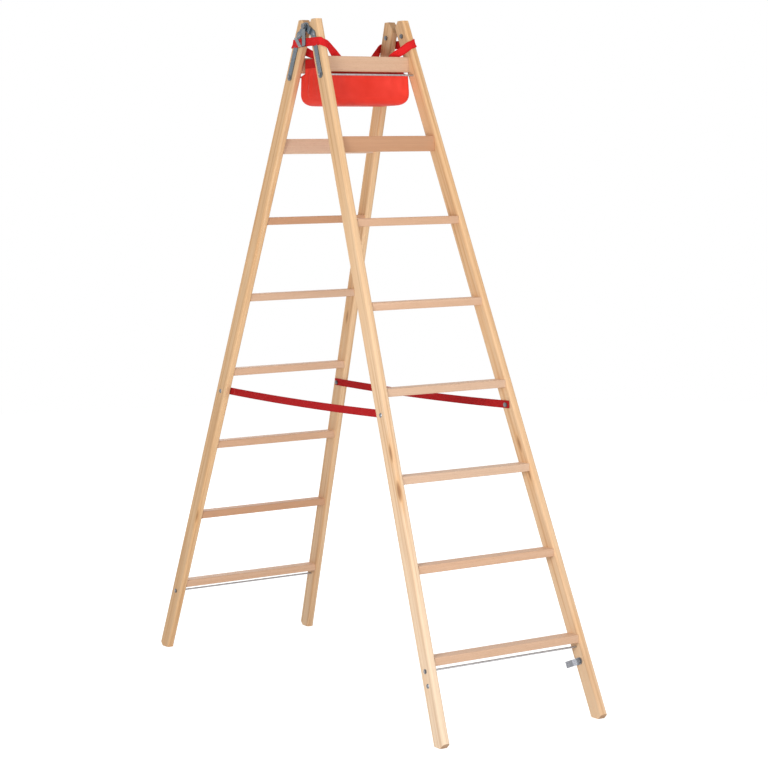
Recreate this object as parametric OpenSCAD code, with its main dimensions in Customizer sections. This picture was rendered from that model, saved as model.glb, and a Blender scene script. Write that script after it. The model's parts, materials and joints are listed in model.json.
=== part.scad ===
// Wooden trestle ladder: two tapered rung frames hinged at their heads, with
// webbing spreaders, a tool bag, a bucket hook and a transport catch.
// It stands open on z = 0. Rungs run along X and the front frame is at -Y.

/* [Frames] */
// Distance along a stile from the floor to the first rung
first_rung = 260; // [220:1:320]
// Distance between rungs along a stile
rung_pitch = 280; // [240:1:300]
// Length of a stile above the top rung
stile_head = 143; // [130:1:180]
// Lean of each frame from upright when open, in degrees
lean_angle = 21.4; // [18:0.1:24]
// Outside width of a frame at the floor
foot_width = 619; // [540:1:700]
// Outside width of a frame at the top
top_width = 358; // [330:1:420]
// Gap between the stiles of the folded ladder
fold_gap = 8.2; // [6:0.1:16]

/* [Stiles] */
// Depth of a stile, across the frame
stile_depth = 58; // [54:0.5:68]
// Thickness of a stile
stile_thick = 25; // [22:0.5:32]
// Rounding of the long edges of a stile
stile_round = 8; // [4:0.5:10]
// Height of the chamfer at a foot's outer edge
foot_chamfer_h = 17; // [8:0.5:26]
// Width of the chamfer at a foot's outer edge
foot_chamfer_w = 24; // [14:0.5:30]
// Distance of a stile head's sawn inner edge from the ladder's middle
head_gap = 10; // [8:0.5:14]
// Width of the chamfer at the inner corner of a stile head
head_cut_w = 18; // [8:0.5:24]
// Height of the chamfer at the inner corner of a stile head
head_cut_h = 22; // [10:0.5:30]

/* [Rungs] */
// Wide side of the rung stock
rung_depth = 50; // [44:0.5:54]
// Narrow side of the rung stock
rung_thick = 25; // [22:0.5:28]
// Rounding of the rung edges
rung_round = 3; // [1:0.5:5]
// Thickness of the board in the top place
board_thick = 18; // [14:0.5:20]
// Distance of the top board's front face behind the middle of the stile
board_set = 6; // [3:0.5:8]
// Length of the tenons in the stiles
tenon_length = 14; // [10:0.5:18]
// Width of the shoulder round a tenon
tenon_shoulder = 4.5; // [3:0.5:6]
// Clearance round a tenon
tenon_fit = 0.15; // [0.05:0.05:0.4]

/* [Tie rods] */
// Diameter of the tie rods
rod_d = 6; // [5:0.5:8]
// Height of a tie rod's nut
rod_nut_h = 3; // [2.5:0.5:6]
// Clearance round a tie rod in its hole
rod_fit = 0.25; // [0.1:0.05:0.5]
// Space between the first rung and its tie rod
lower_rod_gap = 11.5; // [8:0.5:20]
// Space between the top board and its tie rod
upper_rod_gap = 7.5; // [6:0.5:12]

/* [Hinges] */
// Depth of the pivot below the stile tops
pivot_drop = 22; // [18:0.5:30]
// Width of a hinge leaf
leaf_width = 24; // [20:0.5:30]
// Thickness of a hinge leaf
leaf_thick = 3; // [2:0.5:5]
// Distance along the stile from the pivot down to the leaf's bolt
leaf_bolt_drop = 43.5; // [38:0.5:52]
// Diameter of the hinge pins
pin_d = 10; // [8:0.5:12]
// Running clearance round a hinge pin
pin_fit = 0.06; // [0.02:0.01:0.1]
// Length of a hinge pin inside the leaves
pin_reach = 16; // [10:0.5:30]
// Diameter of the hinge pin heads
pin_head_d = 18; // [15:0.5:22]

/* [Bolts] */
// Diameter of the bolts
bolt_d = 8; // [6:0.5:10]
// Diameter of the bolt heads and nut flanges
flange_d = 15; // [13:0.5:20]
// Height of a domed bolt head
head_h = 3.6; // [2.5:0.1:5]
// Height of a nut
nut_h = 5; // [4:0.5:8]

/* [Spreader straps] */
// Distance along a stile from the floor to the strap bolt
spreader_u = 1028; // [960:1:1070]
// Width of the spreader webbing
spreader_width = 27; // [20:0.5:34]
// Thickness of the spreader webbing
spreader_thick = 2; // [1.5:0.1:3]
// Sag of a spreader strap at its middle
spreader_sag = 6; // [2:0.5:20]
// Length of webbing beyond a strap bolt
spreader_tail = 15; // [12:0.5:25]

/* [Tool bag] */
// Height of the bag
bag_height = 152.5; // [120:0.5:180]
// Depth of the bag at its belly
bag_depth = 166; // [130:1:172]
// Thickness of the bag's wall
bag_wall = 3; // [2:0.5:5]
// Space between the bag's ends and the stiles
bag_side_gap = 3; // [2:0.5:14]
// Depth of the bag's mouth below the top board's upper edge
bag_drop = 5.5; // [3:0.5:12]

/* [Harness straps] */
// Width of the harness webbing
harness_width = 27; // [20:0.5:30]
// Thickness of the harness webbing
harness_thick = 2; // [1.5:0.1:2.5]
// Depth of the harness band's middle below the pivot
harness_drop = 52.5; // [50:0.5:60]
// Distance from the ladder's middle to where the harness is sewn to the bag
harness_sewn_x = 86; // [60:1:100]

/* [Bucket hook] */
// Width of the hook's flat bar
hook_width = 20; // [16:0.5:26]
// Thickness of the hook's flat bar
hook_thick = 3; // [2:0.5:4]
// Depth of the hook's lowest middle line below the pivot
hook_drop = 66.5; // [56:0.5:80]
// Radius of the hook's bend
hook_bend = 9; // [8:0.5:14]
// Rise of the hook's tip above its lowest middle line
hook_rise = 28; // [20:0.5:34]
// Lean of the hook's tip, in degrees
hook_tilt = 30; // [10:1:40]
// Least thickness of the ring between the hinge leaf and the hook
spacer_thick = 2; // [1.5:0.1:4]

/* [Transport catch] */
// Distance along a stile from the floor to the catch's bolt
catch_u = 186; // [120:1:196]
// Width of the catch
catch_width = 22; // [18:0.5:28]
// Thickness of the catch
catch_thick = 3; // [2:0.5:4]
// Length of the catch from its bolt to its end
catch_length = 60; // [50:0.5:80]
// Distance from the catch's bolt to its crank
catch_crank = 14; // [12:0.5:20]
// Step of the catch at its crank
catch_step = 9; // [4:0.5:12]

/* [Hidden] */
$fn = 48;
// Extra length of cutting shapes
overrun = 1;
// Clearance of soft pieces from their neighbours
soft_gap = 0.5;
// Clearance of a bolt in its hole and in its nut
bolt_fit = 0.2;
nut_fit = 0.05;
// Clearance of a bolt in its webbing
eyelet_fit = 0.4;
// Clearance of a nut on a tie rod, which crosses it at the splay angle
rod_nut_fit = 0.3;
flange_h = 1.2;
// Length of a bolt or rod past its nut
thread_tail = 1;
// Free length at the end of a mortise
mortise_end = 1;
// Lift of the inner hinge eye off the wood and space between the two eyes
eye_lift = 0.8;
eye_gap = 0.9;
// Side clearance of the rings and heads on a hinge pin
pin_side_gap = 0.4;
pin_head_h = 3;
// Play of the catch against the stile, and the slope of its crank
catch_gap = 0.3;
crank_slope = 45;
// Size of a nut across its corners for its thread
hex_share = 2;
// Size of a bent strip's tip, for its bar
tip_share = 0.95;
// Width of a hinge leaf's arms, for its eye
arm_share = 0.92;
// Places of the crank along the arm of an outer hinge leaf
crank_shares = [0.46, 0.66];
// Bend of the harness round a stile's edge
bend_share = 0.75;
// Extra length of the foot chamfers' cuts
cut_share = 1.25;
// Levels between which the bag is full, flat of its floor and roundness of its corners
rise_share = 0.32;
belly_share = 0.22;
crest_share = 0.6;
shoulder_share = 0.72;
floor_share = 0.55;
corner_share = 0.26;
bag_power = 2.3;
bag_steps = 32;
spreader_steps = 24;
dome_steps = 240;

rung_count = 8;
level_count = 6;
sides = [-1, 1];

cos_t = cos(lean_angle);
sin_t = sin(lean_angle);
tan_t = tan(lean_angle);

function rung_u(i) = first_rung + (i - 1) * rung_pitch;
stile_u = rung_u(rung_count) + stile_head;
head_z = stile_u * cos_t;
pivot_z = head_z - pivot_drop;
// Distance of a stile's middle from the pivot, square to the frame
stile_set = fold_gap / 2 + stile_depth / 2;
pivot_u = (pivot_z + stile_set * sin_t) / cos_t;

// Distance of a stile's middle line from the ladder's middle, at height z
function centre_y(z) = stile_set / cos_t + (pivot_z - z) * tan_t;
level_half = stile_depth / 2 / cos_t;

taper = (foot_width - top_width) / 2 / stile_u;
splay = atan(taper);
face_half = stile_thick / 2 / cos(splay);
function outer_x(u) = foot_width / 2 - taper * u;
function inner_x(u) = outer_x(u) - 2 * face_half;
function centre_x(u) = outer_x(u) - face_half;
// Place along a stile, measured from the pivot's level
function along(u) = (u - pivot_u) / cos(splay);
// Shift of a line along X where it leaves the stile's middle by distance d
function splay_shift(d) = -d * tan(splay);

function rung_z(i) = rung_u(i) * cos_t;
function rung_size(i) =
    i <= level_count ? [rung_depth, rung_thick]
    : [i < rung_count ? rung_thick : board_thick, rung_depth];
function rung_mid_z(i) = rung_z(i) + rung_thick / 2 - rung_size(i)[1] / 2;
function rung_mid_y(i) =
    -centre_y(rung_mid_z(i)) + (i < rung_count ? 0 : board_set + board_thick / 2);
function rung_base_z(i) = rung_mid_z(i) - rung_size(i)[1] / 2;
board_top_z = rung_z(rung_count) + rung_thick / 2;
board_back = -rung_mid_y(rung_count) - board_thick / 2;

lower_rod_z = rung_base_z(1) - lower_rod_gap - rod_d / 2;
upper_rod_z = rung_base_z(rung_count) - upper_rod_gap - rod_d / 2;

stile_face = stile_thick / 2;
front_eye_lift = eye_lift + leaf_thick + eye_gap;
pivot_x = outer_x(pivot_u);
pin_start = pivot_x - pin_reach;
leaf_stack_x = pivot_x + front_eye_lift + leaf_thick + 2 * pin_side_gap;
// The harness band's level, middle line and outer face at the stile heads
harness_z = pivot_z - harness_drop;
harness_skin = soft_gap + harness_thick / 2;
harness_x = outer_x((harness_z - harness_width / 2) / cos_t) + leaf_thick + harness_skin;
harness_face_x = harness_x + harness_thick / 2;
// The hook hangs clear of its ring and of the harness band
hook_x = max(leaf_stack_x + spacer_thick + pin_side_gap, harness_face_x + soft_gap);
hook_head_x = hook_x + hook_thick + pin_side_gap;

// Distance from the splayed wood to the middle of an upright spreader strap
spreader_rise = spreader_width / 2 * cos_t + level_half * sin_t;
spreader_offset = spreader_rise * taper + soft_gap + spreader_thick / 2;
spreader_z = spreader_u * cos_t;
spreader_y = centre_y(spreader_z);
spreader_x = inner_x(spreader_u) - spreader_offset;
spreader_nut_set = spreader_offset + spreader_thick / 2 + flange_d / 2 * taper + bolt_fit;

bag_top_z = board_top_z - bag_drop;
bag_mouth = board_back - harness_thick - 2 * soft_gap;

// Places

// Turns a front right piece into the one at the given side and end
module at(side, end) {
    mirror_x(side < 0) mirror_y(end < 0) children();
}

module mirror_x(on) {
    if (on) mirror([1, 0, 0]) children();
    else children();
}

module mirror_y(on) {
    if (on) mirror([0, 1, 0]) children();
    else children();
}

// Frame space: the pivot is the origin, +Z runs up the frame, +Y points inwards
module in_frame() {
    translate([0, 0, pivot_z]) rotate([-lean_angle, 0, 0]) children();
}

// Stile space of the front right stile: +X leaves its outer face, +Z runs up it
module in_stile(u = pivot_u) {
    in_frame()
        translate([centre_x(pivot_u), -stile_set, 0])
        rotate([0, -splay, 0])
        translate([0, 0, along(u)])
        children();
}

// Shapes

module rounded_rect(w, d, r) {
    square([w - 2 * r, d], center = true);
    square([w, d - 2 * r], center = true);
    for (x = sides, y = sides)
        translate([x * (w / 2 - r), y * (d / 2 - r)]) circle(r);
}

// A flat bar along the line from p to q, between two shares of it
module bar(p, q, w, shares = [0, 1]) {
    reach = norm(q - p);
    translate(p)
        rotate(atan2(q[1] - p[1], q[0] - p[0]))
        translate([shares[0] * reach, -w / 2])
        square([(shares[1] - shares[0]) * reach, w]);
}

// Raises a flat (y, z) outline along +X
module across(from, to) {
    translate([from, 0, 0]) rotate([90, 0, 90]) linear_extrude(height = to - from) children();
}

// A round rod along +X
module x_rod(from, to, d) {
    translate([from, 0, 0]) rotate([0, 90, 0]) cylinder(d = d, h = to - from);
}

// A domed bolt along +X: its shank starts at from and its head sits at seat
module bolt(from, seat) {
    dome_r = (pow(flange_d / 2, 2) + pow(head_h, 2)) / (2 * head_h);
    x_rod(from, seat + head_h / 2, bolt_d);
    translate([seat, 0, 0]) rotate([0, 90, 0]) rotate_extrude() intersection() {
        translate([0, head_h - dome_r]) circle(dome_r, $fn = dome_steps);
        square([flange_d / 2, head_h]);
    }
}

// A flanged nut along -X with its flange's face at seat
module nut(seat, thread_d, fit, tall = nut_h) {
    difference() {
        union() {
            x_rod(seat - flange_h, seat, flange_d);
            translate([seat, 0, 0]) rotate([0, -90, 0])
                cylinder(d = hex_share * thread_d, h = tall, $fn = 6);
        }
        x_rod(seat - tall - overrun, seat + overrun, thread_d + 2 * fit);
    }
}

// Stiles

module rod_place(z) {
    translate([0, -centre_y(z), z]) children();
}

module rod_hole(z) {
    rod_place(z) x_rod(0, foot_width, rod_d + 2 * rod_fit);
}

module bolt_hole(u) {
    in_stile(u) x_rod(-stile_thick, stile_thick, bolt_d + 2 * bolt_fit);
}

module mortise(i) {
    size = rung_size(i);
    reach = inner_x(rung_u(i)) + tenon_length + mortise_end;
    wide = size[0] - 2 * tenon_shoulder + 2 * tenon_fit;
    tall = size[1] - 2 * tenon_shoulder + 2 * tenon_fit;
    translate([0, rung_mid_y(i) - wide / 2, rung_mid_z(i) - tall / 2])
        cube([reach, wide, tall]);
}

// Side view of the front right stile's ends: chamfered foot, level top, sawn inner corner
module side_outline() {
    foot = centre_y(0);
    flat = level_half - foot_chamfer_w;
    cut_z = cut_share * foot_chamfer_h;
    shift = cut_z * tan_t;
    spread = cut_share * foot_chamfer_w;
    polygon([
        [-foot - flat, 0], [-head_gap, 0], [-head_gap, head_z - head_cut_h],
        [-head_gap - head_cut_w, head_z], [-foot - stile_depth, head_z],
        [-foot - stile_depth, cut_z], [-foot - flat - spread + shift, cut_z]
    ]);
}

module stile(side, end) {
    color("wheat") at(side, end) difference() {
        intersection() {
            in_stile(0) translate([0, 0, -stile_depth])
                linear_extrude(height = along(stile_u) - along(0) + 2 * stile_depth)
                rounded_rect(stile_thick, stile_depth, stile_round);
            across(0, foot_width) side_outline();
        }
        for (i = [1:rung_count]) mortise(i);
        rod_hole(lower_rod_z);
        rod_hole(upper_rod_z);
        bolt_hole(pivot_u - leaf_bolt_drop);
        bolt_hole(spreader_u);
        if (end > 0) bolt_hole(catch_u);
    }
}

// Rungs

// The space between the two stiles of the front frame
module between_stiles() {
    in_frame() rotate([90, 0, 0])
        linear_extrude(height = 2 * (stile_set + stile_depth), center = true)
        polygon([
            [-inner_x(0), -pivot_u], [inner_x(0), -pivot_u],
            [inner_x(stile_u), stile_u - pivot_u], [-inner_x(stile_u), stile_u - pivot_u]
        ]);
}

module rung(i, end) {
    size = rung_size(i);
    tenon = [for (s = size) s - 2 * tenon_shoulder];
    color("burlywood") at(1, end) {
        intersection() {
            translate([-foot_width / 2, rung_mid_y(i), rung_mid_z(i)])
                across(0, foot_width) rounded_rect(size[0], size[1], rung_round);
            between_stiles();
        }
        translate([0, rung_mid_y(i), rung_mid_z(i)])
            cube([2 * (inner_x(rung_u(i)) + tenon_length), tenon[0], tenon[1]], center = true);
    }
}

// Tie rods

module tie_rod(z, end, extra) {
    half = outer_x(z / cos_t) + extra + rod_nut_h + thread_tail;
    color("silver") at(1, end) rod_place(z) x_rod(-half, half, rod_d);
}

// The nut on the outer end of a rod, over a plate of the given thickness
module rod_nut(z, plate) {
    seat = stile_face + plate;
    in_stile(z / cos_t)
        translate([0, 0, splay_shift(seat + rod_nut_h / 2)])
        mirror([1, 0, 0])
        nut(-seat, rod_d, rod_nut_fit, rod_nut_h);
}

module rod_nuts(end) {
    color("gainsboro") for (side = sides) at(side, end) {
        rod_nut(lower_rod_z, 0);
        rod_nut(upper_rod_z, leaf_thick);
    }
}

// Hinges

module hinge_leaf(side, end) {
    lift = end > 0 ? front_eye_lift : eye_lift;
    eye = [stile_set, splay_shift(stile_face + lift)];
    hub = [0, -leaf_bolt_drop / cos(splay)];
    tail = [0, along(upper_rod_z / cos_t) + splay_shift(stile_face)];
    middle_share = (crank_shares[0] + crank_shares[1]) / 2;
    arm = arm_share * leaf_width;
    color("silver") at(side, end) difference() {
        in_stile() {
            across(stile_face, stile_face + leaf_thick) {
                for (p = [hub, tail]) translate(p) circle(d = leaf_width);
                bar(tail, hub, arm);
                bar(eye, hub, arm, [middle_share, 1]);
            }
            across(stile_face, stile_face + lift + leaf_thick)
                bar(eye, hub, arm, crank_shares);
            across(stile_face + lift, stile_face + lift + leaf_thick) {
                translate(eye) circle(d = leaf_width);
                bar(eye, hub, arm, [0, middle_share]);
            }
        }
        translate([0, 0, pivot_z]) x_rod(0, foot_width, pin_d + 2 * pin_fit);
        rod_hole(upper_rod_z);
        bolt_hole(pivot_u - leaf_bolt_drop);
    }
}

module hinge_pin(side) {
    head_x = side < 0 ? hook_head_x : leaf_stack_x;
    color("lightgray") at(side, 1) translate([0, 0, pivot_z]) {
        x_rod(pin_start, head_x + pin_head_h, pin_d);
        x_rod(head_x, head_x + pin_head_h, pin_head_d);
    }
}

module hook_spacer() {
    color("gray") at(-1, 1) translate([0, 0, pivot_z]) difference() {
        x_rod(leaf_stack_x, hook_x - pin_side_gap, hook_width);
        x_rod(0, foot_width, pin_d + 2 * pin_fit);
    }
}

// Bolts and nuts

module hinge_bolts(end) {
    color("gainsboro") for (side = sides) at(side, end)
        in_stile(pivot_u - leaf_bolt_drop)
        bolt(-stile_face - nut_h - thread_tail, stile_face + leaf_thick);
}

module hinge_nuts(end) {
    color("gainsboro") for (side = sides) at(side, end)
        in_stile(pivot_u - leaf_bolt_drop)
        nut(-stile_face, bolt_d, nut_fit);
}

module strap_bolts(end) {
    color("gainsboro") for (side = sides) at(side, end)
        in_stile(spreader_u)
        bolt(-stile_face - spreader_nut_set - nut_h - thread_tail, stile_face);
}

module strap_nuts(end) {
    color("gainsboro") for (side = sides) at(side, end)
        in_stile(spreader_u)
        nut(-stile_face - spreader_nut_set, bolt_d, nut_fit);
}

function low_nut_set(side) = side > 0 ? catch_thick + 2 * catch_gap : 0;

module low_bolts() {
    color("gainsboro") for (side = sides) at(side, 1)
        in_stile(catch_u)
        bolt(-stile_face - low_nut_set(side) - nut_h - thread_tail, stile_face);
}

module low_nuts() {
    color("gainsboro") for (side = sides) at(side, 1)
        in_stile(catch_u)
        nut(-stile_face - low_nut_set(side), bolt_d, nut_fit);
}

// Webbing and bag

// Drop of the strap's middle line below its bolts, at distance y from the ladder's middle
function spreader_drop(y) = spreader_sag * (1 - pow(y / spreader_y, 2));

module spreader_strap(side) {
    reach = spreader_y + spreader_tail;
    ys = [for (k = [0:spreader_steps]) reach * (2 * k / spreader_steps - 1)];
    low = [for (y = ys) [y, spreader_z - spreader_drop(y) - spreader_width / 2]];
    high = [for (y = ys) [-y, spreader_z - spreader_drop(y) + spreader_width / 2]];
    color("firebrick") mirror_x(side < 0) difference() {
        across(spreader_x - spreader_thick / 2, spreader_x + spreader_thick / 2)
            polygon(concat(low, high));
        for (end = sides) at(1, end)
            in_stile(spreader_u)
            x_rod(-stile_thick, stile_thick, bolt_d + 2 * eyelet_fit);
    }
}

// Height of the bag's outline at share s, and its half depth and half length there
function bag_z(s) = bag_top_z - bag_height * (1 - s);

function swell(s, full) = pow(1 - pow(1 - s / full, bag_power), 1 / bag_power);

function bag_half_depth(s) =
    s < belly_share
        ? bag_depth / 2 * (floor_share + (1 - floor_share) * swell(s, belly_share))
    : s < crest_share ? bag_depth / 2
    : s < shoulder_share
        ? bag_mouth + (bag_depth / 2 - bag_mouth)
            * (1 + cos(180 * (s - crest_share) / (shoulder_share - crest_share))) / 2
    : bag_mouth;

function bag_half_length(s) =
    inner_x(bag_z(s) / cos_t) - bag_side_gap
        - (s < rise_share ? corner_share * bag_height * (1 - swell(s, rise_share)) : 0);

// A bag outline from the half widths of its levels, drawn in by the inset
module bag_outline(halves, inset) {
    levels = [for (k = [0:bag_steps]) bag_z(k / bag_steps)];
    right = [for (k = [0:bag_steps]) [halves[k] - inset, max(levels[k], levels[0] + inset)]];
    left = [for (k = [bag_steps:-1:0]) [inset - halves[k], max(levels[k], levels[0] + inset)]];
    polygon(concat(right, left));
    if (inset > 0)
        translate([inset - halves[bag_steps], levels[bag_steps] - overrun])
            square([2 * (halves[bag_steps] - inset), 2 * overrun]);
}

module bag_solid(inset) {
    depths = [for (k = [0:bag_steps]) bag_half_depth(k / bag_steps)];
    lengths = [for (k = [0:bag_steps]) bag_half_length(k / bag_steps)];
    intersection() {
        across(-foot_width / 2, foot_width / 2) bag_outline(depths, inset);
        rotate([90, 0, 0]) linear_extrude(height = 2 * bag_depth, center = true)
            bag_outline(lengths, inset);
    }
}

module tool_bag() {
    color("crimson") difference() {
        bag_solid(0);
        bag_solid(bag_wall);
    }
}

// A ribbon through stations of [middle, width direction, face direction]
module ribbon(stations, wide, thick) {
    last = len(stations) - 1;
    corners = [[-1, -1], [1, -1], [1, 1], [-1, 1]];
    points = [for (s = stations, c = corners)
        s[0] + c[0] * wide / 2 * s[1] / norm(s[1]) + c[1] * thick / 2 * s[2] / norm(s[2])];
    // The two halves are split into triangles as mirror images
    sides_of = [for (k = [0:last - 1], c = [0:3]) let (a = 4 * k + c, b = 4 * k + (c + 1) % 4)
        each 2 * k < last ? [[a, a + 4, b + 4], [a, b + 4, b]] : [[a, a + 4, b], [b, a + 4, b + 4]]];
    ends_of = [[0, 1, 2], [0, 2, 3],
        [4 * last, 4 * last + 2, 4 * last + 1], [4 * last, 4 * last + 3, 4 * last + 2]];
    polyhedron(points, concat(sides_of, ends_of));
}

// The harness runs from the bag's front hem, over the board, round the stile heads and back
module harness_strap(side) {
    z = harness_z;
    out_x = harness_x;
    out_y = -centre_y(z) - level_half - harness_skin / cos_t;
    // The webbing slopes down as it crosses the leaning front of a stile
    edge_x = inner_x(z / cos_t);
    edge_z = z - (out_x - edge_x) * sin_t;
    edge_y = out_y - (z - edge_z) * tan_t;
    hem_y = -board_back + harness_thick / 2 + soft_gap;
    sewn_z = bag_top_z - harness_width / 2;
    over_z = board_top_z + harness_thick * 5;
    over_x = harness_sewn_x + over_z - sewn_z;
    bend = bend_share * stile_round;
    sloping = [sin_t, -sin_t * cos_t, -cos_t * cos_t];
    half = [
        [[harness_sewn_x, hem_y, sewn_z], [1, 0, -1], [0, 1, 0]],
        [[over_x, hem_y, over_z], [1, 0, -1], [0, 1, 0]],
        [[edge_x - bend, edge_y + bend, edge_z - bend / 2], sloping, [3, 4, 0]],
        [[edge_x, edge_y, edge_z], sloping, [0, cos_t, -sin_t]],
        [[out_x - bend, out_y, z], [0, -sin_t, -cos_t], [0, cos_t, -sin_t]],
        [[out_x, out_y + bend, z], [0, 0, -1], [-1, 0, 0]]
    ];
    back = [for (k = [len(half) - 1:-1:0]) let (s = half[k])
        [for (v = s) [v[0], -v[1], v[2]]]];
    color("firebrick") mirror_x(side < 0) ribbon(concat(half, back), harness_width, harness_thick);
}

// Bucket hook and transport catch

module bucket_hook() {
    low_z = -hook_drop + hook_bend;
    tip_start = [hook_bend * (1 + cos(hook_tilt)), 0, -hook_bend * sin(hook_tilt)];
    tip_length = (hook_rise - hook_bend * (1 - sin(hook_tilt))) / cos(hook_tilt);
    tip = tip_share * [hook_thick, hook_width];
    color("dimgray") at(-1, 1) translate([0, 0, pivot_z]) {
        difference() {
            across(hook_x, hook_x + hook_thick) {
                circle(d = hook_width);
                bar([0, 0], [0, low_z], hook_width);
            }
            x_rod(0, foot_width, pin_d + 2 * pin_fit);
        }
        translate([hook_x + hook_thick / 2, 0, low_z]) {
            translate([hook_bend, 0, 0]) rotate([-90, 0, 180]) rotate_extrude(angle = 180 - hook_tilt)
                translate([hook_bend - hook_thick / 2, -hook_width / 2]) square([hook_thick, hook_width]);
            translate(tip_start) rotate([0, hook_tilt, 0])
                translate([-tip[0] / 2, -tip[1] / 2, -overrun])
                cube([tip[0], tip[1], tip_length + overrun]);
        }
    }
}

// Cranked end of the catch, which steps away from the stile beyond its bolt
module catch_end(middle, half) {
    turn = half * tan(crank_slope / 2);
    run = catch_crank + catch_step / tan(crank_slope);
    polygon([
        [middle + half, catch_crank - overrun], [middle + half, catch_crank + turn],
        [middle - catch_step + half, run + turn], [middle - catch_step + half, catch_length],
        [middle - catch_step - half, catch_length], [middle - catch_step - half, run - turn],
        [middle - half, catch_crank - turn], [middle - half, catch_crank - overrun]
    ]);
}

module transport_catch() {
    face = -stile_face - catch_gap;
    color("gray") at(1, 1) in_stile(catch_u) {
        difference() {
            across(face - catch_thick, face) {
                circle(d = catch_width);
                bar([0, 0], [catch_crank, 0], catch_width);
            }
            x_rod(-stile_thick, 0, bolt_d + 2 * bolt_fit);
        }
        linear_extrude(height = tip_share * catch_width, center = true)
            catch_end(face - catch_thick / 2, tip_share * catch_thick / 2);
    }
}

stile(-1, 1);  // front_left_stile
stile(1, 1);  // front_right_stile
stile(-1, -1);  // rear_left_stile
stile(1, -1);  // rear_right_stile
for (i = [1:rung_count]) {
    rung(i, 1);
    rung(i, -1);
}
tie_rod(lower_rod_z, 1, 0);  // front_lower_tie_rod
tie_rod(upper_rod_z, 1, leaf_thick);  // front_upper_tie_rod
tie_rod(lower_rod_z, -1, 0);  // rear_lower_tie_rod
tie_rod(upper_rod_z, -1, leaf_thick);  // rear_upper_tie_rod
rod_nuts(1);  // front_rod_nuts
rod_nuts(-1);  // rear_rod_nuts
hinge_leaf(-1, 1);  // front_left_hinge_leaf
hinge_leaf(1, 1);  // front_right_hinge_leaf
hinge_leaf(-1, -1);  // rear_left_hinge_leaf
hinge_leaf(1, -1);  // rear_right_hinge_leaf
hinge_pin(-1);  // left_hinge_pin
hinge_pin(1);  // right_hinge_pin
hook_spacer();
hinge_bolts(1);  // front_hinge_bolts
hinge_bolts(-1);  // rear_hinge_bolts
hinge_nuts(1);  // front_hinge_nuts
hinge_nuts(-1);  // rear_hinge_nuts
strap_bolts(1);  // front_strap_bolts
strap_bolts(-1);  // rear_strap_bolts
strap_nuts(1);  // front_strap_nuts
strap_nuts(-1);  // rear_strap_nuts
low_bolts();  // front_low_bolts
low_nuts();  // front_low_nuts
spreader_strap(-1);  // left_spreader_strap
spreader_strap(1);  // right_spreader_strap
tool_bag();
harness_strap(-1);  // left_harness_strap
harness_strap(1);  // right_harness_strap
bucket_hook();
transport_catch();
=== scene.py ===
"""Looks of the wooden trestle ladder: planed wood, zinc fittings, red webbing and a coated cloth bag."""
import json
import math

import bpy
from mathutils import Matrix, Vector


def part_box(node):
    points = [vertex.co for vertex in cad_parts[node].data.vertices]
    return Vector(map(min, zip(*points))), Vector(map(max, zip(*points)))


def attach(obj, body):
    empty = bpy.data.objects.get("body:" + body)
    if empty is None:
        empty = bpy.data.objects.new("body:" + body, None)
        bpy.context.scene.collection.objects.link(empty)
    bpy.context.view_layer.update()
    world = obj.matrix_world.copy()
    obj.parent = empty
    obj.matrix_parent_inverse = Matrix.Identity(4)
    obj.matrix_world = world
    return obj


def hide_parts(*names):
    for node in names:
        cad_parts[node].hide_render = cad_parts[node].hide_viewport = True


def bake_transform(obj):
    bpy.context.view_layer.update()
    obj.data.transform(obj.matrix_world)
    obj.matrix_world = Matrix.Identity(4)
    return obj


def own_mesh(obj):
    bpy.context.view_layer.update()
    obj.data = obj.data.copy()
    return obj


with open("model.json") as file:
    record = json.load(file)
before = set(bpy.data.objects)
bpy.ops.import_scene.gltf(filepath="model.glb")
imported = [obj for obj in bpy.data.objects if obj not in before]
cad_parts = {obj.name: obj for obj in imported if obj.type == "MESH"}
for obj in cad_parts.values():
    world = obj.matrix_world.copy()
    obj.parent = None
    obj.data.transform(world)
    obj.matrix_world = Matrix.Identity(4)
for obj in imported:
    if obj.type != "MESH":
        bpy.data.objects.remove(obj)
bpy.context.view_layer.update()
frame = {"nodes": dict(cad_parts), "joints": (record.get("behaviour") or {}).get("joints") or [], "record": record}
nodes = frame["nodes"]
joints = {joint["name"]: joint for joint in frame["joints"]}

# Names of the sides along x and of the two frames along y
SIDES = {-1: "left", 1: "right"}
ENDS = {-1: "front", 1: "rear"}
RUNGS = 8
UP = Vector((0, 0, 1))

# Camera of the photograph, in metres and degrees, with its lens and sensor in millimetres
CAMERA_PLACE = Vector((-3.8397, -6.1050, 1.6905))
CAMERA_YAW = 32.79
CAMERA_PITCH = 5.47
CAMERA_ROLL = -1.008
CAMERA_LENS = 101.79
CAMERA_SENSOR = 36.0

# Stage, in metres and watts. The floor is pale grey to the light that it throws back, and white where seen
FLOOR_RADIUS = 9.0
FLOOR_STEPS = 96
FLOOR_PALE = 0.82
FLOOR_GLOW = 0.84
FLOOR_WHITE = 0.50
SKY_LIGHT = 0.41
LAMPS = {
    "key": {"place": (-2.6, -1.7, 1.35), "aim": (-0.1, -0.3, 1.1), "size": 1.2, "power": 44},
    "front": {"place": (0.6, -6.0, 1.3), "aim": (0.0, 0.0, 1.1), "size": 2.5, "power": 126},
    "top": {"place": (-0.6, -0.4, 5.2), "aim": (0.0, 0.0, 1.1), "size": 2.6, "power": 45},
    "back": {"place": (0.8, 5.0, 2.6), "aim": (0.0, 0.0, 1.1), "size": 3.0, "power": 60},
}

# In every material below, colours are linear, STOPS are (place, level) pairs of a ramp, a SCALE is that of a
# texture along each axis, a SHARE is how far a colour covers what lies under it, and a BUMP is its depth in
# metres and its strength
NOISE_LOW = 0.3
NOISE_HIGH = 0.7

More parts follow.
